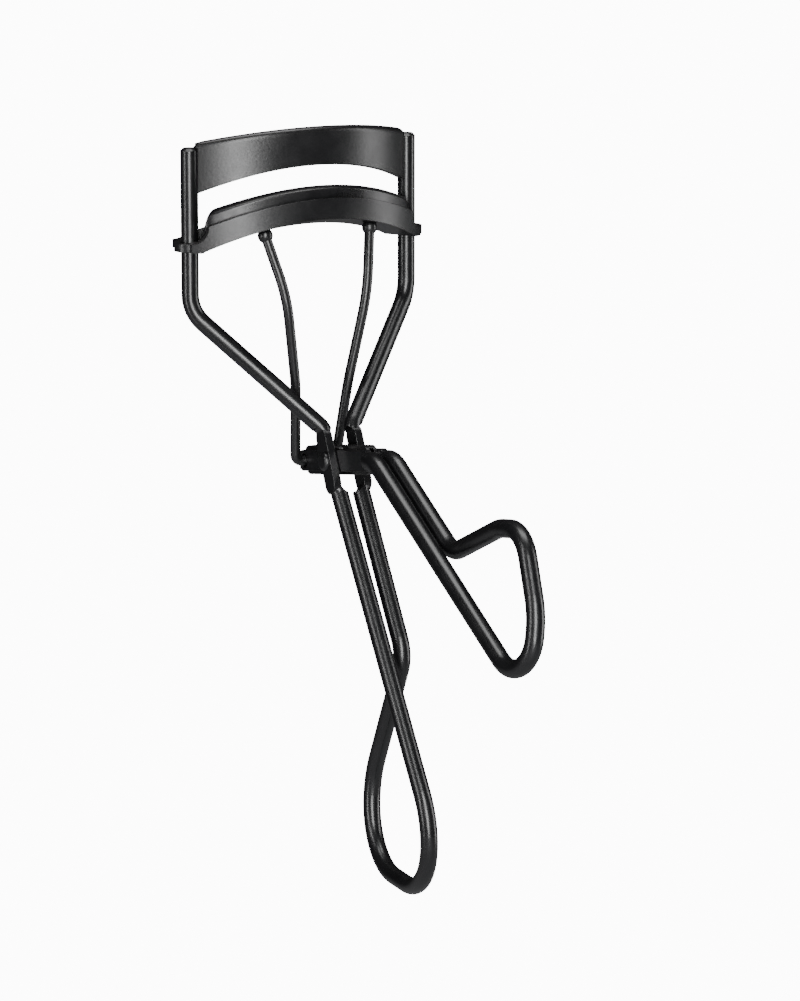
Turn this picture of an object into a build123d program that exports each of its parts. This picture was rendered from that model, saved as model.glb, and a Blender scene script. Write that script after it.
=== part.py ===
"""Eyelash curler: a bent-wire frame with a fixed upper jaw, and a scissor lever that lifts the lower jaw.

Millimetres, +Z up along the two guide posts, X across the jaws, -Y on the bulging (front) side of the
jaws. The origin is the centre of the fixed finger loop, where the tool is held or hung.
"""

import os
from math import atan2, cos, radians, sin, tan

from build123d import *

os.makedirs("parts", exist_ok=True)

# ---------------------------------------------------------------- driving dimensions
# Place of the lever pivot, measured from the centre of the fixed finger loop.
pivot_y = 16.6
pivot_z = 45.0

# Frame wire. Heights and depths below are measured from the lever pivot.
frame_wire_d = 2.4
post_x = 16.5
post_y = 13.5
post_top = 42.0
post_bend_z = 19.6
post_bend_r = 5.0
post_chamfer = 0.35
handle_x = 1.65

# Pressed flats of the frame wire, where the lever is riveted.
flat_lean = 25.0
flat_half = 4.6
flat_top_x = 2.2
flat_inner_x = 1.75
flat_thick = 1.1
flat_width = 2.9
flat_pocket_r = 1.1
flat_bend_r = 3.0

# Handle and fixed finger loop.
handle_lean = 33.8
handle_bend_drop = 24.2
handle_bend_r = 4.0
handle_bend_x = 1.25
loop_half_y = 11.2
loop_top_z = 2.0
loop_drop = 9.9
loop_front_r = 12.0
loop_bottom_r = 9.2
loop_rear_r = 12.0
bend_spare = 0.98
bottom_share = 0.82

# Jaw curve in plan: one centre for every arc of both jaws.
jaw_front_y = 7.7
jaw_face_r = 27.0
jaw_tilt = 14.0
arch_drop = 2.4

# Upper jaw: a pressed strip with a flange turned rearwards along its top.
band_inset = 0.5
band_sheet = 0.9
band_mid_bottom = 39.4
band_mid_height = 5.2
band_top_drop = 0.6
flange_depth = 2.6
flange_inset = 1.7
flange_bend_r = 0.85
band_corner_r = 1.6

# Lower jaw: a pressed channel that holds the pad and slides on the posts.
channel_sheet = 0.7
channel_front_out = 2.5
channel_inner = 3.4
channel_mid_bottom = 32.2
channel_depth = 2.8
channel_low_drop = 2.8
shoulder_top_inset = 0.7
shoulder_sweep_inset = 0.3
shoulder_sweep_rise = 0.6
shoulder_low_reach = 0.9
ear_r = 2.15
ear_thick = 1.15
ear_bottom = 28.0
ear_reach = 0.6
post_fit = 0.08

# Pad.
pad_gap = 0.03
pad_inset = 1.6
pad_lift = 0.95
pad_round_r = 1.35
close_angle = 21.0
close_clearance = 0.05

# Lever: flattened wire ends welded to a folded strip.
lever_wire_d = 2.5
lever_tilt = 10.0
lever_x = 1.4
lever_flat_in = 0.75
lever_flat_out = 1.65
lever_flat_height = 2.9
lever_flat_front = 10.4
lever_flat_end_r = 1.0
lever_bend_y = 12.1
lever_bend_r = 4.2
lever_slope = 38.8
bracket_height = 4.0
bracket_sheet = 0.45
bracket_front = 9.0
bracket_rear = 10.5
bracket_corner_r = 1.4
lever_press_r = 1.2
lever_weld = 0.4
lever_weld_long = 4.2

# Lever finger loop, measured from the pivot in the lever's own tilted plane.
kink_run = 19.6
kink_r = 4.0
loop_low_y = 50.5
loop_belly_y = 51.8
loop_belly_drop = 19.5
loop_nose_y = 48.0
loop_top_drop = 8.8
loop_top_y = 41.0
loop_low_r = 4.8
loop_belly_r = 9.5
loop_nose_r = 5.5
loop_crown_r = 8.0

# Rivet through both flats.
rivet_d = 1.8
rivet_head_d = 2.6
rivet_head_high = 0.6
rivet_dome = 0.5
rivet_fit = 0.05
rivet_seat_fit = 0.02

# Push rods from the lever to the lower jaw: a hook below, a bulge and a riveted head above.
rod_d = 1.4
rod_hook_arm = 8.8
rod_low_x = 3.1
rod_hook_r = 1.1
rod_hook_gap = 0.2
hook_hole_r = 1.0
hook_hole_shift = 0.22
rod_waist_x = 6.1
rod_waist_y = 4.9
rod_waist_z = 22.0
rod_waist_r = 14.0
rod_shin_x = 4.0
rod_shin_y = 6.6
rod_shin_z = 9.5
rod_shin_r = 25.0
ball_x = 7.9
ball_y = 7.8
ball_d = 2.1
ball_sink = 0.4
ball_fit = 0.08
neck_d = 0.8
neck_hole_d = 1.1
rod_head_d = 1.3
rod_head_high = 0.4
rod_head_gap = 0.15

# Weld beads between the upper jaw and the posts.
weld_r = 0.8
weld_inset = 0.7
weld_below_flange = 0.5

# ---------------------------------------------------------------- derived values
frame_r = frame_wire_d / 2
lever_r = lever_wire_d / 2
rod_r = rod_d / 2
ball_r = ball_d / 2
flat_outer_x = flat_inner_x + flat_thick
# The jaws end at the posts, so their lengths follow the posts.
band_half = post_x - band_inset
flange_half = post_x - flange_inset
shoulder_top_x = post_x - shoulder_top_inset
shoulder_sweep_x = post_x - shoulder_sweep_inset
shoulder_low_x = post_x + shoulder_low_reach
pad_half = post_x - pad_inset
jaw_reach = band_half + channel_depth
arc_y = jaw_front_y + jaw_face_r
band_inner_r = jaw_face_r - band_sheet
channel_outer_r = jaw_face_r + channel_front_out
pad_outer_r = channel_outer_r - channel_sheet
pad_inner_r = pad_outer_r - channel_inner
channel_rear_r = pad_inner_r - channel_sheet
flat_y = flat_half * sin(radians(flat_lean))
flat_z = flat_half * cos(radians(flat_lean))
hook_y = rod_hook_arm * cos(radians(lever_tilt))
hook_z = -rod_hook_arm * sin(radians(lever_tilt))

# Planes. "pivot" has the axes of the part with its origin on the lever pivot; "side" looks along X.
pivot = Plane(origin=(0, pivot_y, pivot_z))
side = Plane(origin=(0, pivot_y, pivot_z), x_dir=(0, 1, 0), z_dir=(1, 0, 0))
lever_up = (0, sin(radians(lever_tilt)), cos(radians(lever_tilt)))
lever = Plane(origin=(0, pivot_y, pivot_z), x_dir=(1, 0, 0), z_dir=lever_up)
lever_side = Plane(origin=(0, pivot_y, pivot_z), x_dir=lever.y_dir, z_dir=(1, 0, 0))
flat_across = (0, cos(radians(flat_lean)), -sin(radians(flat_lean)))
flat_side = Plane(origin=pivot.origin, x_dir=flat_across, z_dir=(1, 0, 0))
flat_front = Plane(origin=pivot.origin, x_dir=(1, 0, 0), z_dir=flat_across)


def arch_z(x, y, mid_z, mid_y, drop):
    """Height of an arched, tilted jaw surface at (x, y), from its height at the middle of an arc."""
    return mid_z - (y - mid_y) * tan(radians(jaw_tilt)) - drop * (x / band_half) ** 2


def arch_plane(mid_y, mid_z):
    """A plane across the jaws, tilted front-up, whose sketches are carried along the tilt."""
    lean = radians(jaw_tilt)
    return Plane(
        origin=(0, pivot_y + mid_y, pivot_z + mid_z), x_dir=(1, 0, 0), z_dir=(0, -cos(lean), sin(lean))
    )


def arched_strip(bottom, top, bottom_drop, top_drop, reach):
    """The space between two arcs that sag towards both ends, as a flat sketch."""
    low_end = bottom - bottom_drop * (reach / band_half) ** 2
    high_end = top - top_drop * (reach / band_half) ** 2
    with BuildSketch() as strip:
        with BuildLine():
            ThreePointArc((-reach, low_end), (0, bottom), (reach, low_end))
            Line((reach, low_end), (reach, high_end))
            ThreePointArc((reach, high_end), (0, top), (-reach, high_end))
            Line((-reach, high_end), (-reach, low_end))
        make_face()
    return strip.sketch


def plan_strip(outer_r, inner_r, half):
    """A curved strip in plan between two arcs about the jaw centre, cut off at both ends."""
    with BuildSketch() as strip:
        with Locations((0, arc_y)):
            Circle(outer_r)
            Circle(inner_r, mode=Mode.SUBTRACT)
        with Locations((0, arc_y - outer_r / 2)):
            Rectangle(2 * half, outer_r, mode=Mode.INTERSECT)
    return strip.sketch


# ---------------------------------------------------------------- frame wire
handle_dir_y = -sin(radians(handle_lean))
handle_dir_z = -cos(radians(handle_lean))
bend_run = (handle_bend_drop - flat_z) / cos(radians(handle_lean))
bend_y = -flat_y + bend_run * handle_dir_y
bend_z = -flat_z + bend_run * handle_dir_z
loop_y = -pivot_y
loop_z = -pivot_z
front_y = loop_y - loop_half_y
front_run = (-flat_y - front_y) / sin(radians(handle_lean))
front_z = -flat_z + front_run * handle_dir_z
rear_y = loop_y + loop_half_y
low_z = loop_z - loop_drop
loop_side_x = handle_x * 0.55
# Each side of the loop is shared by two bends, so the upper one takes what the lower one leaves.
front_turn = radians(handle_lean)
rear_turn = atan2(rear_y - bend_y, bend_z - loop_z - loop_top_z)
front_fall = front_z - low_z
rear_fall = loop_z + loop_top_z - low_z
bottom_r = min(loop_bottom_r, bottom_share * min(front_fall, rear_fall))
front_spare = bend_spare * (front_fall - bottom_r)
rear_spare = bend_spare * (rear_fall - bottom_r)
front_r = min(loop_front_r, front_spare / tan(front_turn / 2))
rear_r = min(loop_rear_r, rear_spare / tan(rear_turn / 2))

frame_points = [
    (-post_x, post_y, post_top),
    (-post_x, post_y, post_bend_z),
    (-flat_top_x, flat_y, flat_z),
    (-handle_x, -flat_y, -flat_z),
    (-handle_x, front_y, front_z),
    (-loop_side_x, front_y, low_z),
    (loop_side_x, rear_y, low_z),
    (handle_x, rear_y, loop_z + loop_top_z),
    (handle_bend_x, bend_y, bend_z),
    (handle_x, -flat_y, -flat_z),
    (flat_top_x, flat_y, flat_z),
    (post_x, post_y, post_bend_z),
    (post_x, post_y, post_top),
]
frame_radii = [
    post_bend_r,
    flat_bend_r,
    flat_bend_r,
    front_r,
    bottom_r,
    bottom_r,
    rear_r,
    handle_bend_r,
    flat_bend_r,
    flat_bend_r,
    post_bend_r,
]

with BuildPart() as frame_wire:
    with BuildLine(pivot) as frame_path:
        FilletPolyline(*frame_points, radius=frame_radii)
    with BuildSketch(pivot.offset(post_top).location * Location((-post_x, post_y, 0))):
        Circle(frame_r)
    sweep(path=frame_path.wires()[0])
    chamfer(frame_wire.faces().sort_by(Axis.Z)[-2:].edges(), post_chamfer)
    # The press takes the inner side of both wires away, with round shoulders, and spreads the rest.
    with BuildSketch(flat_front):
        RectangleRounded(2 * flat_inner_x, 2 * flat_half, flat_pocket_r)
        for side_x in (-flat_outer_x - flat_thick, flat_outer_x + flat_thick):
            with Locations((side_x, 0)):
                RectangleRounded(2 * flat_thick, 2 * flat_half, flat_pocket_r / 2)
    extrude(amount=flat_width, both=True, mode=Mode.SUBTRACT)
    for side_x in (-flat_outer_x, flat_inner_x):
        with BuildSketch(flat_side.offset(side_x)):
            SlotCenterToCenter(2 * flat_half - flat_width, flat_width, rotation=90)
        extrude(amount=flat_thick)
    with BuildSketch(side):
        Circle(rivet_d / 2 + rivet_seat_fit)
    extrude(amount=2 * flat_outer_x, both=True, mode=Mode.SUBTRACT)
frame_wire.part.label = "frame_wire"
export_step(frame_wire.part, "parts/frame_wire.step")

# ---------------------------------------------------------------- upper jaw
corner_x = band_half - band_corner_r
corner_z = band_mid_height - band_top_drop * (corner_x / band_half) ** 2 - band_corner_r
corner_out = band_corner_r * cos(radians(45))
flange_r = jaw_face_r - flange_depth

with BuildPart() as jaw_hollow:
    with BuildSketch(pivot):
        add(plan_strip(band_inner_r, flange_r - flange_depth, band_half + flange_depth))
    extrude(amount=band_mid_bottom + 2 * band_mid_height)
    with BuildSketch(arch_plane(jaw_front_y, band_mid_bottom)):
        hollow_top = band_mid_height - band_sheet
        add(arched_strip(-band_mid_height, hollow_top, band_top_drop, band_top_drop, jaw_reach))
    extrude(amount=jaw_face_r, both=True, mode=Mode.INTERSECT)

with BuildPart() as upper_jaw:
    with BuildSketch(pivot):
        add(plan_strip(jaw_face_r, flange_r, band_half))
    extrude(amount=band_mid_bottom + 2 * band_mid_height)
    with BuildSketch(arch_plane(jaw_front_y, band_mid_bottom)):
        add(arched_strip(0, band_mid_height, arch_drop, band_top_drop, jaw_reach))
    extrude(amount=jaw_face_r, both=True, mode=Mode.INTERSECT)
    top_edge = upper_jaw.edges().filter_by(lambda e: e.length > band_half).sort_by(Axis.Z)[-2:]
    fillet(top_edge.sort_by(Axis.Y)[0], flange_bend_r)
    add(jaw_hollow, mode=Mode.SUBTRACT)
    # The flange stops short of the posts, and the corners of the band are rounded.
    with BuildSketch(pivot):
        with Locations((0, arc_y)):
            Circle(band_inner_r)
        Rectangle(2 * flange_half, 4 * band_half, mode=Mode.SUBTRACT)
    extrude(amount=band_mid_bottom + 2 * band_mid_height, mode=Mode.SUBTRACT)
    with BuildSketch(arch_plane(jaw_front_y, band_mid_bottom)):
        for end in (-1, 1):
            with BuildLine():
                ThreePointArc(
                    (end * corner_x, corner_z + band_corner_r),
                    (end * (corner_x + corner_out), corner_z + corner_out),
                    (end * band_half, corner_z),
                )
                Polyline(
                    (end * band_half, corner_z),
                    (end * 2 * band_half, corner_z),
                    (end * 2 * band_half, 2 * band_mid_height),
                    (end * corner_x, 2 * band_mid_height),
                    (end * corner_x, corner_z + band_corner_r),
                )
            make_face()
    extrude(amount=jaw_face_r, both=True, mode=Mode.SUBTRACT)
    with BuildSketch(pivot):
        with Locations((-post_x, post_y), (post_x, post_y)):
            Circle(frame_r)
    extrude(amount=post_top, mode=Mode.SUBTRACT)
upper_jaw.part.label = "upper_jaw"
export_step(upper_jaw.part, "parts/upper_jaw.step")

weld_low = band_mid_bottom - arch_drop
weld_high = arch_z(post_x, post_y, band_mid_bottom + band_mid_height, jaw_front_y, band_top_drop)
for weld_name, post_side in (("jaw_weld_left", -1), ("jaw_weld_right", 1)):
    with BuildPart() as jaw_weld:
        with BuildSketch(pivot.offset(weld_low)):
            with Locations((post_side * (post_x - frame_r), post_y + weld_inset)):
                Circle(weld_r)
            with Locations((post_side * post_x, post_y)):
                Circle(frame_r, mode=Mode.SUBTRACT)
            with Locations((0, arc_y)):
                Circle(band_inner_r, mode=Mode.INTERSECT)
        extrude(amount=weld_high - band_sheet - weld_below_flange - weld_low)
    jaw_weld.part.label = weld_name
    export_step(jaw_weld.part, f"parts/{weld_name}.step")

# ---------------------------------------------------------------- lower jaw
channel_mid_y = jaw_front_y - channel_front_out
wall_end_z = channel_mid_bottom + channel_depth - arch_drop
ear_mid_r = (channel_outer_r + channel_rear_r) / 2
ear_angle = atan2(post_x, arc_y - post_y)
ear_far = 2 * jaw_face_r
ball_bottom_z = arch_z(ball_x, ball_y, channel_mid_bottom, channel_mid_y, channel_low_drop)
ball_z = ball_bottom_z + ball_sink - ball_r
floor_slope_x = 2 * channel_low_drop * ball_x / band_half ** 2
floor_slope_y = tan(radians(jaw_tilt))
neck_left = Plane(
    origin=(-ball_x, pivot_y + ball_y, pivot_z + ball_z), z_dir=(-floor_slope_x, floor_slope_y, 1)
)
neck_right = Plane(
    origin=(ball_x, pivot_y + ball_y, pivot_z + ball_z), z_dir=(floor_slope_x, floor_slope_y, 1)
)

with BuildPart() as trough:
    with BuildSketch(pivot):
        add(plan_strip(pad_outer_r, pad_inner_r, post_x))
    extrude(amount=band_mid_bottom + channel_depth)
    with BuildSketch(arch_plane(channel_mid_y, channel_mid_bottom)):
        add(arched_strip(channel_sheet, 2 * channel_depth, channel_low_drop, arch_drop, jaw_reach))
    extrude(amount=jaw_face_r, both=True, mode=Mode.INTERSECT)

with BuildPart() as lower_jaw:
    with BuildSketch(pivot):
        add(plan_strip(channel_outer_r, channel_rear_r, shoulder_low_x))
    extrude(amount=band_mid_bottom)
    with BuildSketch(arch_plane(channel_mid_y, channel_mid_bottom)):
        add(arched_strip(0, channel_depth, channel_low_drop, arch_drop, jaw_reach))
    extrude(amount=jaw_face_r, both=True, mode=Mode.INTERSECT)
    add(trough, mode=Mode.SUBTRACT)
    # Both ends are flat below, and their walls run down to the eyelets.
    with BuildSketch(pivot):
        Rectangle(4 * band_half, 4 * band_half)
    extrude(amount=ear_bottom, mode=Mode.SUBTRACT)
    with BuildSketch(Plane.XZ.offset(-pivot_y).location * Location((0, pivot_z, 0))):
        for end in (-1, 1):
            with BuildLine():
                ThreePointArc(
                    (end * shoulder_top_x, wall_end_z),
                    (end * shoulder_sweep_x, ear_bottom + ear_thick + shoulder_sweep_rise),
                    (end * shoulder_low_x, ear_bottom + ear_thick),
                )
                Polyline(
                    (end * shoulder_low_x, ear_bottom + ear_thick),
                    (end * (post_x + ear_r), ear_bottom + ear_thick),
                    (end * (post_x + ear_r), wall_end_z + channel_depth),
                    (end * shoulder_top_x, wall_end_z + channel_depth),
                    (end * shoulder_top_x, wall_end_z),
                )
            make_face()
    extrude(amount=2 * jaw_face_r, both=True, mode=Mode.SUBTRACT)
    with BuildSketch(pivot.offset(ear_bottom)):
        add(plan_strip(ear_mid_r + ear_r, ear_mid_r - ear_r, post_x))
        with Locations((0, arc_y)):
            for end in (-1, 1):
                with BuildLine():
                    Polyline(
                        (0, 0),
                        (end * ear_far * sin(ear_angle), -ear_far * cos(ear_angle)),
                        (end * ear_far, 0),
                        close=True,
                    )
                make_face(mode=Mode.SUBTRACT)
        Rectangle(2 * (post_x - ear_reach), 4 * band_half, mode=Mode.SUBTRACT)
        with Locations((-post_x, post_y), (post_x, post_y)):
            Circle(ear_r)
    extrude(amount=ear_thick)
    with BuildSketch(pivot.offset(ear_bottom)):
        with Locations((-post_x, post_y), (post_x, post_y)):
            Circle(frame_r + post_fit)
    extrude(amount=channel_depth + 2 * ear_thick, both=True, mode=Mode.SUBTRACT)
    # A cup and a hole through the floor for each push rod.
    for neck in (neck_left, neck_right):
        with Locations(neck.origin):
            Sphere(ball_r + ball_fit, mode=Mode.SUBTRACT)
        with BuildSketch(neck):
            Circle(neck_hole_d / 2)
        extrude(amount=2 * ball_d, mode=Mode.SUBTRACT)
lower_jaw.part.label = "lower_jaw"
export_step(lower_jaw.part, "parts/lower_jaw.step")

# ---------------------------------------------------------------- pad
close_travel = rod_hook_arm * (sin(radians(close_angle - lever_tilt)) + sin(radians(lever_tilt)))
jaw_gap = band_mid_bottom - channel_mid_bottom + channel_front_out * tan(radians(jaw_tilt))
pad_rise = (jaw_gap - close_travel - close_clearance) * cos(radians(jaw_tilt))

with BuildPart() as pad:
    with BuildSketch(pivot):
        add(plan_strip(pad_outer_r - pad_gap, pad_inner_r + pad_gap, pad_half))
    extrude(amount=band_mid_bottom)
    with BuildSketch(arch_plane(channel_mid_y, channel_mid_bottom)):
        add(arched_strip(channel_sheet + pad_lift, pad_rise, arch_drop, arch_drop, jaw_reach))
    extrude(amount=jaw_face_r, both=True, mode=Mode.INTERSECT)
    pad_top = pad.faces().sort_by(Axis.Z)[-1]
    fillet(pad_top.edges().filter_by(lambda edge: edge.length > pad_half), pad_round_r)
pad.part.label = "pad"
export_step(pad.part, "parts/pad.step")

# ---------------------------------------------------------------- lever
# The lever is drawn in its own plane, tilted front-up about the pivot, where the folded strip is level.
slope_run = cos(radians(lever_slope))
slope_fall = sin(radians(lever_slope))
corner_drop = (loop_low_y - lever_bend_y) * tan(radians(lever_slope))

lever_points = [
    (-lever_x, bracket_rear, 0),
    (-lever_x, -lever_bend_y, 0),
    (-lever_x, -loop_low_y, -corner_drop),
    (0, -loop_belly_y, -loop_belly_drop),
    (lever_x * 0.8, -loop_nose_y, -loop_top_drop),
    (lever_x, -loop_top_y, -loop_top_drop),
    (lever_x, -lever_bend_y - kink_run * slope_run, -kink_run * slope_fall),
    (lever_x, -lever_bend_y, 0),
    (lever_x, bracket_rear, 0),
]
lever_radii = [lever_bend_r, loop_low_r, loop_belly_r, loop_nose_r, loop_crown_r, kink_r, lever_bend_r]

with BuildPart() as lever_wire:
    with BuildLine(lever) as lever_path:
        FilletPolyline(*lever_points, radius=lever_radii)
    with BuildSketch(Plane(origin=lever_path.wires()[0] @ 0, z_dir=lever_path.wires()[0] % 0)):
        Circle(lever_r)
    sweep(path=lever_path.wires()[0])
    # The ends are pressed flat where they pass between the flats of the frame.
    press_mid = (bracket_rear + lever_r - lever_flat_front) / 2
    press_long = bracket_rear + lever_r + lever_flat_front
    with BuildSketch(lever):
        with Locations((0, press_mid)):
            RectangleRounded(2 * lever_flat_in, press_long, lever_flat_in * 0.9)
        for side_x in (-lever_flat_out - lever_r, lever_flat_out + lever_r):
            with Locations((side_x, press_mid)):
                RectangleRounded(lever_wire_d, press_long, lever_press_r)
    extrude(amount=lever_flat_height, both=True, mode=Mode.SUBTRACT)
    for side_x in (-lever_flat_out, lever_flat_in):
        with BuildSketch(lever_side.offset(side_x)):
            with Locations(((bracket_rear - lever_flat_front) / 2, 0)):
                RectangleRounded(bracket_rear + lever_flat_front, lever_flat_height, lever_flat_end_r)
        extrude(amount=lever_flat_out - lever_flat_in)
    with BuildSketch(lever_side):
        Circle(rivet_d / 2 + rivet_fit)
        with Locations((rod_hook_arm + hook_hole_shift, 0)):
            Circle(hook_hole_r)
    extrude(amount=2 * lever_flat_out, both=True, mode=Mode.SUBTRACT)
lever_wire.part.label = "lever_wire"
export_step(lever_wire.part, "parts/lever_wire.step")

with BuildPart() as lever_bracket:
    with BuildSketch(lever_side):
        with Locations(((bracket_rear - bracket_front) / 2, 0)):
            RectangleRounded(bracket_rear + bracket_front, bracket_height, bracket_corner_r)
        Circle(rivet_d / 2 + rivet_fit, mode=Mode.SUBTRACT)
        with Locations((rod_hook_arm + hook_hole_shift, 0)):
            Circle(hook_hole_r, mode=Mode.SUBTRACT)
    extrude(amount=lever_flat_in, both=True)
    with BuildSketch(lever_side):
        with Locations(((bracket_rear - bracket_front) / 2, -bracket_sheet)):
            Rectangle(2 * (bracket_rear + bracket_front), bracket_height)
    extrude(amount=lever_flat_in - bracket_sheet, both=True, mode=Mode.SUBTRACT)
lever_bracket.part.label = "lever_bracket"
export_step(lever_bracket.part, "parts/lever_bracket.step")

for weld_name, weld_side in (("lever_weld_left", -1), ("lever_weld_right", 1)):
    with BuildPart() as lever_weld_bead:
        with BuildSketch(Plane(origin=lever_side.origin, x_dir=(1, 0, 0), z_dir=lever.y_dir)):
            weld_x = weld_side * (lever_flat_in + lever_weld / 2)
            with Locations((weld_x, -(lever_flat_height + lever_weld) / 2)):
                Rectangle(lever_weld, lever_weld)
        extrude(amount=lever_weld_long / 2, both=True)
    lever_weld_bead.part.label = weld_name
    export_step(lever_weld_bead.part, f"parts/{weld_name}.step")

# ---------------------------------------------------------------- pivot rivet
with BuildPart() as pivot_rivet:
    with BuildSketch(side):
        Circle(rivet_d / 2)
    extrude(amount=flat_outer_x, both=True)
    for head_side in (-1, 1):
        with BuildSketch(side.offset(head_side * flat_outer_x)):
            Circle(rivet_head_d / 2)
        extrude(amount=head_side * rivet_head_high)
    outer_rims = pivot_rivet.faces().sort_by(Axis.X)
    fillet(outer_rims[0].edges(), rivet_dome)
    fillet(pivot_rivet.faces().sort_by(Axis.X)[-1].edges(), rivet_dome)
pivot_rivet.part.label = "pivot_rivet"
export_step(pivot_rivet.part, "parts/pivot_rivet.step")

# ---------------------------------------------------------------- push rods
for rod_name, end, neck in (("link_rod_left", -1, neck_left), ("link_rod_right", 1, neck_right)):
    with BuildPart() as link_rod:
        with BuildLine(pivot) as rod_path:
            FilletPolyline(
                (end * rod_hook_gap, hook_y, hook_z),
                (end * rod_low_x, hook_y, hook_z),
                (end * rod_shin_x, rod_shin_y, rod_shin_z),
                (end * rod_waist_x, rod_waist_y, rod_waist_z),
                (end * ball_x, ball_y, ball_z),
                radius=[rod_hook_r, rod_shin_r, rod_waist_r],
            )
        with BuildSketch(Plane(origin=rod_path.wires()[0] @ 0, z_dir=rod_path.wires()[0] % 0)):
            Circle(rod_r)
        sweep(path=rod_path.wires()[0])
        with Locations(neck.origin):
            Sphere(ball_r)
        neck_high = ball_r - ball_sink + channel_sheet + rod_head_gap
        with BuildSketch(neck):
            Circle(neck_d / 2)
        extrude(amount=neck_high)
        with BuildSketch(neck.offset(neck_high)):
            Circle(rod_head_d / 2)
        extrude(amount=rod_head_high)
    link_rod.part.label = rod_name
    export_step(link_rod.part, f"parts/{rod_name}.step")
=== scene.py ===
"""Looks of the eyelash curler: satin black metal, a moulded rubber pad, weld beads and a plain studio.

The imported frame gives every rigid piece. This script dresses those pieces with procedural finishes,
builds the soft pad and the weld beads as meshes of their own, and sets the lights and the camera.
"""

import logging
import math
from dataclasses import dataclass, field
from enum import Enum
from typing import Any

import bmesh
import bpy
from mathutils import Matrix, Vector

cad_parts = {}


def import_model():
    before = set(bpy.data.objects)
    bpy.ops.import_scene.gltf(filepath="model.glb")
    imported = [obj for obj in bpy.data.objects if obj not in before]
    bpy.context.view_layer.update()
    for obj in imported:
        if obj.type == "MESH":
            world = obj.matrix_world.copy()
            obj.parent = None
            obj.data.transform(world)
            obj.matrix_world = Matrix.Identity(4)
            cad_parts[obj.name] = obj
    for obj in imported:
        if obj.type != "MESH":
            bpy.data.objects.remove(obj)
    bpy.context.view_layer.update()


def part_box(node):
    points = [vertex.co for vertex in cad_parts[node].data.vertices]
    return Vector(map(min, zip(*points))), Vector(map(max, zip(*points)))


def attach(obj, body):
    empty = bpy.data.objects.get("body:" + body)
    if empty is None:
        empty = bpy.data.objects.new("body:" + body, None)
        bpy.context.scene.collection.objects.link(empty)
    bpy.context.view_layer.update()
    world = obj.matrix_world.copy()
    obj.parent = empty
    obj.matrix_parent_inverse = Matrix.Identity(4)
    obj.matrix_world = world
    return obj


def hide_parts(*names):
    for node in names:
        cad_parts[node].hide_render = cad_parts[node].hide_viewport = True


LOG = logging.getLogger("curler")
MM = 0.001

# Where the part's own sizes place things, in metres. The pivot is the lever's rivet.
PIVOT = Vector((0.0, 16.6, 45.0)) * MM
JAW_CENTRE_Y = 16.6 * MM + 34.7 * MM


class Grain(Enum):
    """How the surface of a finish is textured."""

    SATIN = "satin"
    DRAWN = "drawn"


# Size and contrast of the soft patches on each kind of surface.
METAL_WEAR = {"Scale": 260.0, "Contrast": 0.55}
RUBBER_WEAR = {"Scale": 420.0, "Contrast": 0.7}

# How much the grain is drawn out along the part's height: less is longer.
GRAIN_STRETCH = {Grain.SATIN: 1.0, Grain.DRAWN: 0.25}


@dataclass(frozen=True)
class MetalFinish:
    """A satin black coating on metal.

    Attributes:
        name: Name of the material.
        deep: Linear colour of the darker coating.
        pale: Linear colour of the lighter coating.
        gloss: Lowest and highest roughness.
        grain: Kind of surface texture.
        grain_size: Features per metre of the fine texture.
        grain_height: Height of the texture in metres.
        edge_radius: Radius of the softened edges in metres.
    """

    name: str
    deep: tuple[float, float, float]
    pale: tuple[float, float, float]
    gloss: tuple[float, float]
    grain: Grain
    grain_size: float
    grain_height: float
    edge_radius: float = 0.00014

    def material(self) -> bpy.types.Material:
        """Builds the material of this finish.

        Returns:
            The finished material.
        """
        mat, tree, shader = new_material(self.name)
        coords = tree.nodes.new("ShaderNodeTexCoord")
        link_wear(tree, shader, coords, self, METAL_WEAR)
        shader.inputs["Metallic"].default_value = 0.0
        shader.inputs["IOR"].default_value = 1.55
        soft = tree.nodes.new("ShaderNodeBevel")
        soft.samples = 6
        soft.inputs["Radius"].default_value = self.edge_radius
        stretch = GRAIN_STRETCH[self.grain]
        grain = place_group(tree, grain_group(), {"Scale": self.grain_size, "Stretch": stretch})
        tree.links.new(coords.outputs["Object"], grain.inputs["Vector"])
        bump = tree.nodes.new("ShaderNodeBump")
        bump.inputs["Distance"].default_value = self.grain_height
        bump.inputs["Strength"].default_value = 1.0
        tree.links.new(grain.outputs["Height"], bump.inputs["Height"])
        tree.links.new(soft.outputs["Normal"], bump.inputs["Normal"])
        tree.links.new(bump.outputs["Normal"], shader.inputs["Normal"])
        return mat


@dataclass(frozen=True)
class RubberFinish:
    """A smooth moulded rubber.

    Attributes:
        name: Name of the material.
        deep: Linear colour where the skin is clean.
        pale: Linear colour where it is rubbed.
        gloss: Lowest and highest roughness.
    """

    name: str
    deep: tuple[float, float, float]
    pale: tuple[float, float, float]
    gloss: tuple[float, float]

    def material(self) -> bpy.types.Material:
        """Builds the material of this finish.

        Returns:
            The finished material.
        """
        mat, tree, shader = new_material(self.name)
        coords = tree.nodes.new("ShaderNodeTexCoord")
        link_wear(tree, shader, coords, self, RUBBER_WEAR)
        shader.inputs["Specular IOR Level"].default_value = 0.5
        grain = place_group(tree, grain_group(), {"Scale": 9000.0, "Stretch": 1.0})
        tree.links.new(coords.outputs["Object"], grain.inputs["Vector"])
        bump = tree.nodes.new("ShaderNodeBump")
        bump.inputs["Distance"].default_value = 0.000004
        tree.links.new(grain.outputs["Height"], bump.inputs["Height"])
        tree.links.new(bump.outputs["Normal"], shader.inputs["Normal"])
        return mat


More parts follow.
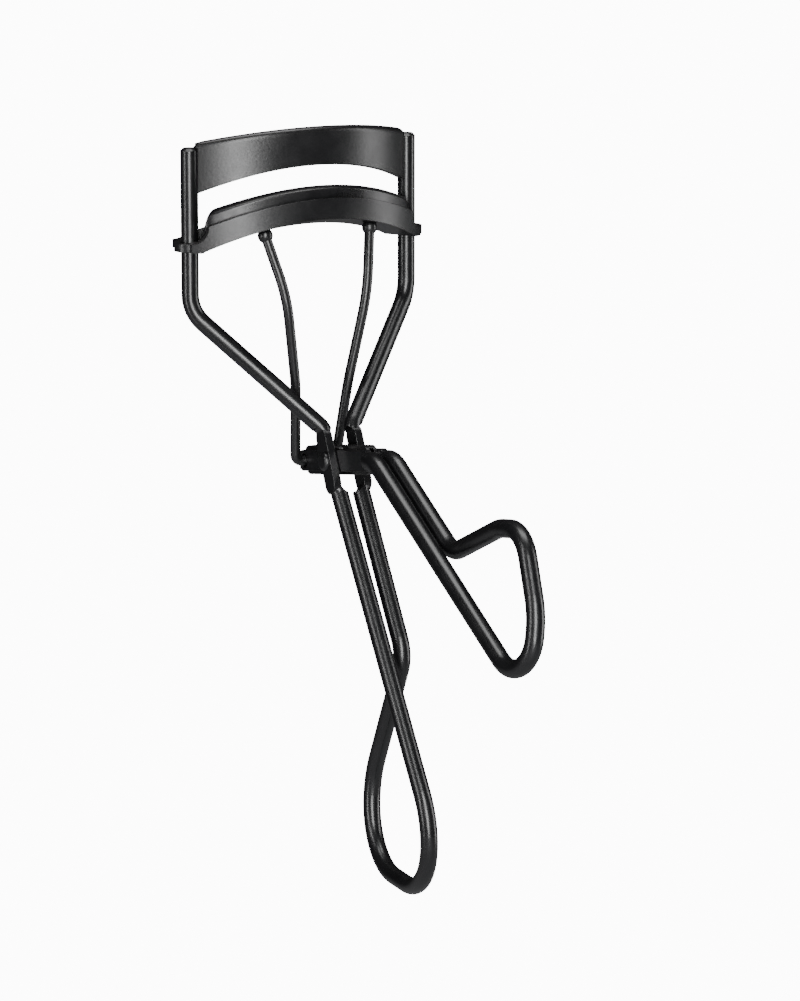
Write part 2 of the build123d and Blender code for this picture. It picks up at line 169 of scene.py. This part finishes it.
def new_material(name: str) -> tuple[bpy.types.Material, bpy.types.NodeTree, bpy.types.Node]:
    """Makes an empty node material.

    Args:
        name: Name of the material.

    Returns:
        The material, its node tree and its Principled shader.
    """
    mat = bpy.data.materials.new(name)
    mat.use_nodes = True
    tree = mat.node_tree
    return mat, tree, tree.nodes["Principled BSDF"]


def place_group(
    tree: bpy.types.NodeTree, group: bpy.types.NodeTree, values: dict[str, float]
) -> bpy.types.Node:
    """Places a shared node group in a material and sets its inputs.

    Args:
        tree: Node tree of the material.
        group: The shared group.
        values: Input names and their values.

    Returns:
        The group node.
    """
    node = tree.nodes.new("ShaderNodeGroup")
    node.node_tree = group
    for name, value in values.items():
        node.inputs[name].default_value = value
    return node


def link_wear(
    tree: bpy.types.NodeTree,
    shader: bpy.types.Node,
    coords: bpy.types.Node,
    finish: "MetalFinish | RubberFinish",
    wear_values: dict[str, float],
) -> None:
    """Links the soft patches of a finish to its colour and roughness.

    Args:
        tree: Node tree of the material.
        shader: Its Principled shader.
        coords: Its texture coordinates.
        finish: The finish, for its colours and roughness.
        wear_values: Scale and contrast of the patches.
    """
    wear = place_group(tree, handling_group(), wear_values)
    tree.links.new(coords.outputs["Object"], wear.inputs["Vector"])
    tone = tree.nodes.new("ShaderNodeMix")
    tone.data_type = "RGBA"
    tone.inputs["A"].default_value = (*finish.deep, 1.0)
    tone.inputs["B"].default_value = (*finish.pale, 1.0)
    tree.links.new(wear.outputs["Mask"], tone.inputs["Factor"])
    tree.links.new(tone.outputs["Result"], shader.inputs["Base Color"])
    rough = tree.nodes.new("ShaderNodeMapRange")
    rough.inputs["To Min"].default_value = finish.gloss[0]
    rough.inputs["To Max"].default_value = finish.gloss[1]
    tree.links.new(wear.outputs["Mask"], rough.inputs["Value"])
    tree.links.new(rough.outputs["Result"], shader.inputs["Roughness"])


def group_shell(name: str, inputs: list[tuple[str, str]], output: str) -> tuple[Any, Any, Any]:
    """Makes an empty shader node group with named sockets.

    Args:
        name: Name of the group.
        inputs: Name and socket type of each input.
        output: Name of the only output, a number.

    Returns:
        The group, its input node and its output node.
    """
    group = bpy.data.node_groups.new(name, "ShaderNodeTree")
    for socket, kind in inputs:
        group.interface.new_socket(socket, in_out="INPUT", socket_type=kind)
    group.interface.new_socket(output, in_out="OUTPUT", socket_type="NodeSocketFloat")
    return group, group.nodes.new("NodeGroupInput"), group.nodes.new("NodeGroupOutput")


def handling_group() -> bpy.types.NodeTree:
    """Gives the shared group of soft patches left by coating and handling.

    Returns:
        The node group, built on first use.
    """
    if "handling_patches" in bpy.data.node_groups:
        return bpy.data.node_groups["handling_patches"]
    sockets = [("Vector", "NodeSocketVector"), ("Scale", "NodeSocketFloat"), ("Contrast", "NodeSocketFloat")]
    group, source, sink = group_shell("handling_patches", sockets, "Mask")
    broad = group.nodes.new("ShaderNodeTexNoise")
    broad.inputs["Detail"].default_value = 4.0
    broad.inputs["Roughness"].default_value = 0.6
    group.links.new(source.outputs["Vector"], broad.inputs["Vector"])
    group.links.new(source.outputs["Scale"], broad.inputs["Scale"])
    centred = group.nodes.new("ShaderNodeMath")
    centred.operation = "SUBTRACT"
    centred.inputs[1].default_value = 0.5
    group.links.new(broad.outputs["Fac"], centred.inputs[0])
    spread = group.nodes.new("ShaderNodeMath")
    spread.operation = "MULTIPLY_ADD"
    spread.use_clamp = True
    spread.inputs[2].default_value = 0.5
    gain = group.nodes.new("ShaderNodeMath")
    gain.operation = "MULTIPLY"
    gain.inputs[1].default_value = 4.0
    group.links.new(source.outputs["Contrast"], gain.inputs[0])
    group.links.new(centred.outputs["Value"], spread.inputs[0])
    group.links.new(gain.outputs["Value"], spread.inputs[1])
    group.links.new(spread.outputs["Value"], sink.inputs["Mask"])
    return group


def grain_group() -> bpy.types.NodeTree:
    """Gives the shared group of fine surface grain.

    Returns:
        The node group, built on first use.
    """
    if "surface_grain" in bpy.data.node_groups:
        return bpy.data.node_groups["surface_grain"]
    sockets = [("Vector", "NodeSocketVector"), ("Scale", "NodeSocketFloat"), ("Stretch", "NodeSocketFloat")]
    group, source, sink = group_shell("surface_grain", sockets, "Height")
    squeeze = group.nodes.new("ShaderNodeCombineXYZ")
    squeeze.inputs["X"].default_value = 1.0
    squeeze.inputs["Y"].default_value = 1.0
    group.links.new(source.outputs["Stretch"], squeeze.inputs["Z"])
    turned = group.nodes.new("ShaderNodeVectorMath")
    turned.operation = "MULTIPLY"
    group.links.new(source.outputs["Vector"], turned.inputs[0])
    group.links.new(squeeze.outputs["Vector"], turned.inputs[1])
    noise = group.nodes.new("ShaderNodeTexNoise")
    noise.inputs["Detail"].default_value = 2.0
    noise.inputs["Roughness"].default_value = 0.55
    group.links.new(turned.outputs["Vector"], noise.inputs["Vector"])
    group.links.new(source.outputs["Scale"], noise.inputs["Scale"])
    group.links.new(noise.outputs["Fac"], sink.inputs["Height"])
    return group


WIRE_COAT = MetalFinish(
    "wire_coat",
    (0.0026, 0.0026, 0.0031),
    (0.0050, 0.0049, 0.0055),
    (0.27, 0.34),
    Grain.DRAWN,
    2600.0,
    0.000003,
)
JAW_COAT = MetalFinish(
    "jaw_coat",
    (0.0030, 0.0030, 0.0035),
    (0.0058, 0.0057, 0.0063),
    (0.31, 0.39),
    Grain.SATIN,
    2600.0,
    0.000010,
)
ROD_COAT = MetalFinish(
    "rod_coat",
    (0.0028, 0.0028, 0.0032),
    (0.0054, 0.0053, 0.0058),
    (0.30, 0.38),
    Grain.DRAWN,
    3200.0,
    0.000004,
)
BRACKET_COAT = MetalFinish(
    "bracket_coat",
    (0.0024, 0.0024, 0.0028),
    (0.0046, 0.0045, 0.0050),
    (0.26, 0.36),
    Grain.SATIN,
    3600.0,
    0.000008,
)
WELD_COAT = MetalFinish(
    "weld_coat",
    (0.0060, 0.0060, 0.0064),
    (0.0130, 0.0126, 0.0130),
    (0.34, 0.50),
    Grain.SATIN,
    5000.0,
    0.000020,
)
PAD_RUBBER = RubberFinish("pad_rubber_skin", (0.0034, 0.0034, 0.0040), (0.0062, 0.0061, 0.0068), (0.26, 0.36))


def mesh_object(name: str, bm: bmesh.types.BMesh, finish: bpy.types.Material) -> bpy.types.Object:
    """Turns a bmesh into a smooth-shaded object at the origin.

    Args:
        name: Name of the piece.
        bm: The shape, which is freed.
        finish: Material of the piece.

    Returns:
        The new object.
    """
    bmesh.ops.remove_doubles(bm, verts=bm.verts, dist=0.000001)
    bmesh.ops.recalc_face_normals(bm, faces=bm.faces)
    mesh = bpy.data.meshes.new(name)
    bm.to_mesh(mesh)
    bm.free()
    for face in mesh.polygons:
        face.use_smooth = True
    piece = bpy.data.objects.new(name, mesh)
    bpy.context.scene.collection.objects.link(piece)
    mesh.materials.append(finish)
    return piece


def smooth_more(piece: bpy.types.Object, levels: int) -> None:
    """Adds a subdivision surface with equal levels in view and render.

    Args:
        piece: The piece to smooth.
        levels: Number of subdivisions.
    """
    surface = piece.modifiers.new("smooth", "SUBSURF")
    surface.levels = levels
    surface.render_levels = levels


def dress(node: str, finish: bpy.types.Material) -> None:
    """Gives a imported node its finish.

    Args:
        node: Name of the node.
        finish: Its material.
    """
    piece = bpy.data.objects[node]
    piece.data.materials.clear()
    piece.data.materials.append(finish)
    LOG.info("dressed %s with %s", node, finish.name)


@dataclass
class JawPad:
    """The soft strip that stands in the channel of the lower jaw.

    Attributes:
        wide: Width of the strip between its walls.
        high: Height of the strip.
        half_length: Half of its length across the jaws.
        mid_radius: Radius of its middle line in plan.
        sag: Drop of the strip at half_span.
        half_span: Where the sag is measured.
        tilt: Slope of the jaws towards the front, in degrees.
        foot: Lowest point of the strip at its middle.
        foot_y: Depth of that point.
        steps: Divisions along the strip.
        end_round: Radius of the rounded ends, seen from the front.
    """

    wide: float = 3.34 * MM
    high: float = 2.78 * MM
    half_length: float = 14.9 * MM
    mid_radius: float = 27.1 * MM
    sag: float = 2.4 * MM
    half_span: float = 16.0 * MM
    tilt: float = 14.0
    foot: float = (45.0 + 32.2 + 1.60) * MM
    foot_y: float = (16.6 + 7.6) * MM
    steps: int = 96
    end_round: float = 1.3 * MM

    def build(self) -> bpy.types.Object:
        """Builds the strip as one swept, crowned form with rounded ends.

        Returns:
            The pad.
        """
        bm = bmesh.new()
        bmesh.ops.create_grid(bm, x_segments=6, y_segments=5, size=0.5)
        bmesh.ops.scale(bm, vec=(self.wide, self.high, 1.0), verts=bm.verts)
        for vert in bm.verts:
            self._crown(vert)
        angle = math.asin(self.half_length / self.mid_radius)
        bmesh.ops.rotate(bm, cent=(0, 0, 0), matrix=Matrix.Rotation(math.pi / 2, 3, "X"), verts=bm.verts)
        bmesh.ops.rotate(bm, cent=(0, 0, 0), matrix=Matrix.Rotation(math.pi / 2, 3, "Z"), verts=bm.verts)
        bmesh.ops.translate(bm, vec=(0, -self.mid_radius, 0), verts=bm.verts)
        bmesh.ops.rotate(bm, cent=(0, 0, 0), matrix=Matrix.Rotation(-angle, 3, "Z"), verts=bm.verts)
        bmesh.ops.spin(
            bm,
            geom=list(bm.verts) + list(bm.edges) + list(bm.faces),
            cent=(0, 0, 0),
            axis=(0, 0, 1),
            angle=2 * angle,
            steps=self.steps,
            use_duplicate=False,
        )
        self._round_ends(bm, angle)
        self._arch(bm)
        pad = mesh_object("pad_skin", bm, PAD_RUBBER.material())
        smooth_more(pad, 2)
        return pad

    def _crown(self, vert: bmesh.types.BMVert) -> None:
        """Rounds the section: full on top, slightly narrower at the foot."""
        across = vert.co.x / (self.wide / 2)
        up = vert.co.y / self.high + 0.5
        vert.co.y = (up * (1.0 - 0.16 * across ** 2 * up)) * self.high
        if up > 0.99:
            vert.co.y -= 0.22 * self.high * abs(across) ** 3 * 0.4
        vert.co.x *= 1.0 - 0.03 * (1.0 - up)

    def _round_ends(self, bm: bmesh.types.BMesh, angle: float) -> None:
        """Pulls both ends in so that they are rounded like a moulded strip."""
        reach = self.end_round / self.mid_radius
        for vert in bm.verts:
            turn = math.atan2(vert.co.x, -vert.co.y)
            past = min(1.0, (abs(turn) - (angle - reach)) / reach)
            if past > 0:
                cut = 1.0 - math.sqrt(1.0 - (0.98 * past) ** 2)
                if vert.co.z > 0:
                    vert.co.z -= cut * self.end_round * vert.co.z / (self.high / 2)
                radius = math.hypot(vert.co.x, vert.co.y)
                new_radius = self.mid_radius + (radius - self.mid_radius) * (1.0 - 0.35 * cut)
                vert.co.x *= new_radius / radius
                vert.co.y *= new_radius / radius

    def _arch(self, bm: bmesh.types.BMesh) -> None:
        """Carries the flat strip onto the arched and tilted jaw."""
        slope = math.tan(math.radians(self.tilt))
        for vert in bm.verts:
            x = vert.co.x
            y = vert.co.y + JAW_CENTRE_Y
            drop = self.sag * (x / self.half_span) ** 2
            vert.co = Vector((x, y, self.foot + vert.co.z - drop - (y - self.foot_y) * slope))


@dataclass
class WeldBead:
    """A small run of weld metal along an inside corner.

    Attributes:
        name: Name of the piece.
        start: One end of the run.
        end: The other end.
        radius: Radius of the bead.
        ripples: Number of ripples along the run.
    """

    name: str
    start: Vector
    end: Vector
    radius: float
    ripples: int = 7

    def build(self, finish: bpy.types.Material) -> bpy.types.Object:
        """Builds the bead as a rippled, closed tube.

        Args:
            finish: Material of the bead.

        Returns:
            The bead.
        """
        bm = bmesh.new()
        run = self.end - self.start
        rings = self.ripples * 4
        bmesh.ops.create_circle(bm, cap_ends=True, segments=12, radius=self.radius)
        step = Vector((0, 0, run.length / rings))
        top = list(bm.faces)
        for ring in range(rings):
            grown = bmesh.ops.extrude_face_region(bm, geom=top)["geom"]
            bmesh.ops.translate(bm, vec=step, verts=[v for v in grown if isinstance(v, bmesh.types.BMVert)])
            top = [f for f in grown if isinstance(f, bmesh.types.BMFace)]
        for vert in bm.verts:
            along = vert.co.z / run.length
            swell = 0.86 + 0.14 * abs(math.sin(math.pi * self.ripples * along))
            taper = min(1.0, 0.45 + 3.2 * min(along, 1.0 - along))
            vert.co.x *= swell * taper
            vert.co.y *= swell * taper
        turn = Vector((0, 0, 1)).rotation_difference(run.normalized()).to_matrix()
        bmesh.ops.rotate(bm, cent=(0, 0, 0), matrix=turn, verts=bm.verts)
        bmesh.ops.translate(bm, vec=self.start, verts=bm.verts)
        bead = mesh_object(self.name, bm, finish)
        smooth_more(bead, 1)
        return bead


@dataclass
class FrameAssembly:
    """The bent wire frame with the upper jaw welded between its posts."""

    wires: tuple[str, ...] = ("frame_wire",)
    jaws: tuple[str, ...] = ("upper_jaw",)
    fixings: tuple[str, ...] = ("pivot_rivet",)

    def build(self) -> None:
        """Dresses the frame and adds its weld beads."""
        wire, jaw = WIRE_COAT.material(), JAW_COAT.material()
        for node in self.wires + self.fixings:
            dress(node, wire)
        for node in self.jaws:
            dress(node, jaw)
        weld = WELD_COAT.material()
        for side, node in ((-1, "jaw_weld_left"), (1, "jaw_weld_right")):
            low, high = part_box(node)
            middle_x = side * 14.95 * MM
            middle_y = (low.y + high.y) / 2 + 0.15 * MM
            bead = WeldBead(
                node + "_bead",
                Vector((middle_x, middle_y, low.z + 0.1 * MM)),
                Vector((middle_x, middle_y, high.z - 0.1 * MM)),
                0.62 * MM,
            ).build(weld)
            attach(bead, "frame")
            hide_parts(node)
            LOG.info("welded %s", node)


@dataclass
class LowerJawAssembly:
    """The sliding channel with its soft pad, and the push rods below it."""

    channel: str = "lower_jaw"
    rods: tuple[str, ...] = ("link_rod_left", "link_rod_right")
    pad: JawPad = field(default_factory=JawPad)

    def build(self) -> None:
        """Dresses the channel and rods, and builds the pad."""
        dress(self.channel, JAW_COAT.material())
        rod = ROD_COAT.material()
        for node in self.rods:
            dress(node, rod)
        pad = self.pad.build()
        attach(pad, "lower_jaw_body")
        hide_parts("pad")
        LOG.info("pad is in its channel")


@dataclass
class LeverAssembly:
    """The squeezing lever: a looped wire welded to a folded strip."""

    wire: str = "lever_wire"
    strip: str = "lever_bracket"

    def build(self) -> None:
        """Dresses the lever and adds its weld beads."""
        dress(self.wire, WIRE_COAT.material())
        dress(self.strip, BRACKET_COAT.material())
        weld = WELD_COAT.material()
        for node in ("lever_weld_left", "lever_weld_right"):
            low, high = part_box(node)
            x = (low.x + high.x) / 2
            bead = WeldBead(
                node + "_bead",
                Vector((x, low.y + 0.2 * MM, high.z - 0.28 * MM)),
                Vector((x, high.y - 0.2 * MM, low.z + 0.28 * MM)),
                0.26 * MM,
            ).build(weld)
            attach(bead, "lever")
            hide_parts(node)
            LOG.info("welded %s", node)


@dataclass(frozen=True)
class Softbox:
    """A rectangular light, placed along the camera's own directions from the pivot.

    Attributes:
        name: Name of the light.
        right: Metres to the camera's right.
        up: Metres up.
        back: Metres towards the camera.
        wide: Width in metres.
        high: Height in metres.
        power: Power in watts.
    """

    name: str
    right: float
    up: float
    back: float
    wide: float
    high: float
    power: float


# Brightness of the sweep as the camera sees it, and of the room in reflections.
SEEN_WHITE = 12.0
ROOM_GLOW = 0.03
FLOOR_DROP = 0.25

SOFTBOXES = (
    Softbox("front", 0.05, 0.02, 0.85, 0.20, 0.9, 12.0),
    Softbox("left", -0.62, 0.10, 0.40, 0.10, 0.9, 3.5),
    Softbox("right", 0.75, 0.05, -0.05, 0.16, 0.9, 3.5),
    Softbox("top", 0.0, 0.75, 0.10, 0.6, 0.3, 4.0),
)


@dataclass
class Studio:
    """A pale floor and backdrop with soft lights and the camera.

    Attributes:
        azimuth: Camera azimuth in degrees.
        elevation: Camera elevation in degrees.
        distance: Distance of the camera from the pivot.
        shift_right: Sideways shift of the camera from the pivot.
        shift_down: Downward shift of the camera from the pivot.
        lens: Focal length in millimetres on a 36 mm tall sensor.
    """

    azimuth: float = -27.3
    elevation: float = 12.0
    distance: float = 0.7
    shift_right: float = 7.61 * MM
    shift_down: float = 5.55 * MM
    lens: float = 185.5

    def axes(self) -> tuple[Vector, Vector, Vector]:
        """Gives the camera's right, up and backward directions."""
        a, e = math.radians(self.azimuth), math.radians(self.elevation)
        back = Vector((math.sin(a) * math.cos(e), -math.cos(a) * math.cos(e), math.sin(e)))
        right = Vector((math.cos(a), math.sin(a), 0.0))
        return right, back.cross(right), back

    def build(self) -> None:
        """Builds the stage, the lights and the camera."""
        self._camera()
        self._stage()
        self._world()
        right, up, back = self.axes()
        for box in SOFTBOXES:
            self._softbox(box, PIVOT + right * box.right + up * box.up + back * box.back)

    def _camera(self) -> None:
        """Places the camera at the object's own viewing angle."""
        right, up, back = self.axes()
        data = bpy.data.cameras.new("camera")
        data.sensor_fit = "VERTICAL"
        data.sensor_height = 36.0
        data.lens = self.lens
        data.clip_start = 0.01
        data.clip_end = 20.0
        camera = bpy.data.objects.new("camera", data)
        bpy.context.scene.collection.objects.link(camera)
        camera.location = PIVOT + right * self.shift_right - up * self.shift_down + back * self.distance
        camera.rotation_euler = Matrix((right, up, back)).transposed().to_euler()
        bpy.context.scene.camera = camera

    def _stage(self) -> None:
        """Lays the pale floor under the object."""
        bm = bmesh.new()
        bmesh.ops.create_grid(bm, x_segments=2, y_segments=2, size=2.5)
        bmesh.ops.translate(bm, vec=(0, 0, -FLOOR_DROP), verts=bm.verts)
        mat, tree, shader = new_material("pale_floor")
        shader.inputs["Base Color"].default_value = (0.35, 0.35, 0.36, 1.0)
        shader.inputs["Roughness"].default_value = 0.9
        shader.inputs["Specular IOR Level"].default_value = 0.1
        glow = tree.nodes.new("ShaderNodeEmission")
        glow.inputs["Strength"].default_value = SEEN_WHITE
        path = tree.nodes.new("ShaderNodeLightPath")
        mix = tree.nodes.new("ShaderNodeMixShader")
        tree.links.new(path.outputs["Is Camera Ray"], mix.inputs["Fac"])
        tree.links.new(shader.outputs["BSDF"], mix.inputs[1])
        tree.links.new(glow.outputs["Emission"], mix.inputs[2])
        tree.links.new(mix.outputs["Shader"], tree.nodes["Material Output"].inputs["Surface"])
        floor = mesh_object("floor", bm, mat)

    def _world(self) -> None:
        """Surrounds the object with a plain white sweep that is dimmer in reflections."""
        world = bpy.data.worlds.new("studio")
        bpy.context.scene.world = world
        world.use_nodes = True
        tree = world.node_tree
        tree.nodes.clear()
        out = tree.nodes.new("ShaderNodeOutputWorld")
        mix = tree.nodes.new("ShaderNodeMixShader")
        path = tree.nodes.new("ShaderNodeLightPath")
        seen = tree.nodes.new("ShaderNodeBackground")
        seen.inputs["Color"].default_value = (1.0, 1.0, 1.0, 1.0)
        seen.inputs["Strength"].default_value = SEEN_WHITE
        around = tree.nodes.new("ShaderNodeBackground")
        around.inputs["Color"].default_value = (0.9, 0.92, 0.95, 1.0)
        around.inputs["Strength"].default_value = ROOM_GLOW
        tree.links.new(path.outputs["Is Camera Ray"], mix.inputs["Fac"])
        tree.links.new(around.outputs["Background"], mix.inputs[1])
        tree.links.new(seen.outputs["Background"], mix.inputs[2])
        tree.links.new(mix.outputs["Shader"], out.inputs["Surface"])

    def _softbox(self, box: Softbox, place: Vector) -> None:
        """Hangs one rectangular light that faces the object."""
        data = bpy.data.lights.new(box.name, "AREA")
        data.shape = "RECTANGLE"
        data.size = box.wide
        data.size_y = box.high
        data.energy = box.power
        lamp = bpy.data.objects.new(box.name, data)
        bpy.context.scene.collection.objects.link(lamp)
        lamp.location = place
        lamp.rotation_euler = (PIVOT - place).to_track_quat("-Z", "Y").to_euler()


def main() -> None:
    """Builds every sub-assembly and the studio."""
    logging.basicConfig(level=logging.INFO, format="%(name)s: %(message)s")
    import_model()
    for assembly in (FrameAssembly(), LowerJawAssembly(), LeverAssembly(), Studio()):
        assembly.build()
        LOG.info("built %s", type(assembly).__name__)


if __name__ == "__main__":
    main()
